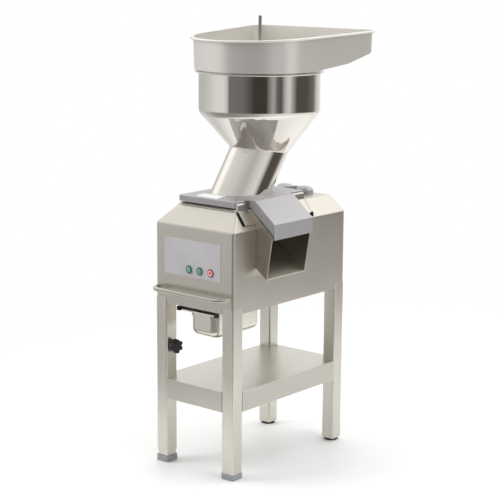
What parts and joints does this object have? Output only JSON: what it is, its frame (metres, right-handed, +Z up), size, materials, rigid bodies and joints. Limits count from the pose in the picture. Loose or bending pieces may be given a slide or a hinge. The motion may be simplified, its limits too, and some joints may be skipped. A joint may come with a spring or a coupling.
{
  "type": "vegetable cutting machine",
  "caption": "Floor-standing vegetable cutter: stainless casing on a leg stand, hinged feed head with leaning tube, round hopper and feed tray, hooded side outlet.",
  "frame": {"origin": "on the floor, under the middle of the machine's overall width and length", "axes": "+Z up, +X towards the outlet side, -Y towards the operator and the control panel"},
  "size_m": [0.4894, 0.635, 1.37],
  "materials": {
    "stainless_leg": "fine satin grain along the tube",
    "stainless_shelf": "satin sheet",
    "stainless_casing": "satin stainless sheet, warm",
    "stainless_surround": "satin stainless",
    "stainless_chute": "satin stainless",
    "stainless_handle": "satin tube",
    "stainless_pan": "bright pressed stainless",
    "stainless_runner": "folded stainless",
    "stainless_bowl": "satin inside",
    "stainless_tube": "polished stainless",
    "stainless_hopper": "polished stainless",
    "stainless_tray": "satin to bright stainless",
    "stainless_rod": "drawn bar",
    "cast_lid": "satin grey casting",
    "cast_hinge": "satin grey casting",
    "black_plastic": "moulded black",
    "grey_plastic": "moulded grey",
    "boss_steel": "dark turned steel",
    "panel_label": "satin pale film on plate",
    "bezel_grey": "clear grey ring",
    "button_green": "moulded green",
    "button_red": "moulded red",
    "contact_black": "moulded",
    "gear_box_grey": "moulded",
    "gland_black": "moulded",
    "seal_rubber": "black seal",
    "cast_housing": "machined casting",
    "shaft_steel": "ground steel",
    "pulley_metal": "turned",
    "belt_rubber": "ribbed belt",
    "ejector_plastic": "white food plastic",
    "disc_steel": "satin stainless",
    "nut_plastic": "moulded",
    "motor_paint": "grey enamel",
    "motor_core": "varnished laminations",
    "fan_plastic": "moulded"
  },
  "bodies": {
    "machine": {"leg_front_left": "stainless_leg", "leg_front_right": "stainless_leg", "leg_rear_left": "stainless_leg", "leg_rear_right": "stainless_leg", "foot_cap_front_right": "grey_plastic", "glide_rear_left": "black_plastic", "glide_rear_right": "black_plastic", "clamp_boss": "boss_steel", "shelf": "stainless_shelf", "casing": "stainless_casing", "base_plate": "stainless_casing", "handle": "stainless_handle", "control_panel_plate": "panel_label", "button_bezels": "bezel_grey", "contact_blocks": "contact_black", "pan_runners": "stainless_runner", "runner_end_caps": "black_plastic", "chamber_bowl": "stainless_bowl", "bowl_seal": "seal_rubber", "outlet_chute": "stainless_chute", "chamber_surround": "stainless_surround", "hinge_lugs": "cast_hinge", "hinge_pin": "stainless_rod", "bearing_housing": "cast_housing", "spindle_bearings": "shaft_steel", "shaft_seal": "seal_rubber", "drive_plate": "cast_housing", "drive_plate_posts": "shaft_steel", "drive_belt": "belt_rubber", "motor_housing": "motor_paint", "motor_shield_lower": "motor_paint", "motor_shield_upper": "motor_paint", "motor_stator": "motor_core", "motor_fan_cowl": "motor_paint", "motor_bearings": "shaft_steel", "control_gear_box": "gear_box_grey", "cable_gland": "gland_black"},
    "front_left_foot": {"telescopic_foot_tube": "stainless_leg", "foot_cap_front_left": "grey_plastic"},
    "foot_clamp": {"foot_clamp_knob": "black_plastic"},
    "start_low_button": {"button_start_low": "button_green"},
    "start_high_button": {"button_start_high": "button_green"},
    "stop_button": {"button_stop": "button_red"},
    "container": {"drip_pan": "stainless_pan"},
    "feed_head": {"lid": "cast_lid", "feed_tube": "stainless_tube", "hopper": "stainless_hopper", "rod_support": "stainless_rod"},
    "feed_tray": {"tray": "stainless_tray"},
    "stirring_rod": {"agitator_rod": "stainless_rod"},
    "spindle": {"drive_shaft": "shaft_steel", "ejector_disc": "ejector_plastic", "slicing_disc": "disc_steel", "slicing_blades": "disc_steel", "disc_nut": "nut_plastic", "spindle_pulley": "pulley_metal"},
    "rotor": {"motor_rotor": "motor_core", "motor_pulley": "pulley_metal", "motor_fan": "fan_plastic"}
  },
  "joints": [
    {"name": "foot_extend", "type": "slide", "parent": "machine", "child": "front_left_foot", "axis": [0, 0, -1], "range_m": [-0.012, 0.03]},
    {"name": "foot_clamp_turn", "type": "hinge", "parent": "machine", "child": "foot_clamp", "pos_m": [-0.11, -0.25004, 0.372], "axis": [1, 0, 0], "range_deg": [-720, 0]},
    {"name": "start_low_press", "type": "slide", "parent": "machine", "child": "start_low_button", "axis": [0, 1, 0], "range_m": [0, 0.0025], "stiffness_N_per_m": 800, "springref_m": -0.002},
    {"name": "start_high_press", "type": "slide", "parent": "machine", "child": "start_high_button", "axis": [0, 1, 0], "range_m": [0, 0.0025], "stiffness_N_per_m": 800, "springref_m": -0.002},
    {"name": "stop_press", "type": "slide", "parent": "machine", "child": "stop_button", "axis": [0, 1, 0], "range_m": [0, 0.0025], "stiffness_N_per_m": 800, "springref_m": -0.002},
    {"name": "container_pull", "type": "slide", "parent": "machine", "child": "container", "axis": [0, -1, 0], "range_m": [0, 0.2]},
    {"name": "feed_head_open", "type": "hinge", "parent": "machine", "child": "feed_head", "pos_m": [0.003, 0.20546, 0.818], "axis": [-1, 0, 0], "range_deg": [0, 75]},
    {"name": "tray_swivel", "type": "hinge", "parent": "feed_head", "child": "feed_tray", "pos_m": [0, 0.02846, 1.203], "axis": [0, 0, 1], "range_deg": [-90, 90]},
    {"name": "rod_turn", "type": "hinge", "parent": "feed_head", "child": "stirring_rod", "pos_m": [0, 0.02846, 1.012], "axis": [0, 0, 1], "continuous": true},
    {"name": "spindle_spin", "type": "hinge", "parent": "machine", "child": "spindle", "pos_m": [0, -0.06754, 0.68], "axis": [0, 0, 1], "continuous": true},
    {"name": "motor_spin", "type": "hinge", "parent": "machine", "child": "rotor", "pos_m": [0, 0.14546, 0.568], "axis": [0, 0, 1], "continuous": true}
  ],
  "couplings": [
    {"joint": "motor_spin", "follows": "spindle_spin", "ratio": 4}
  ]
}
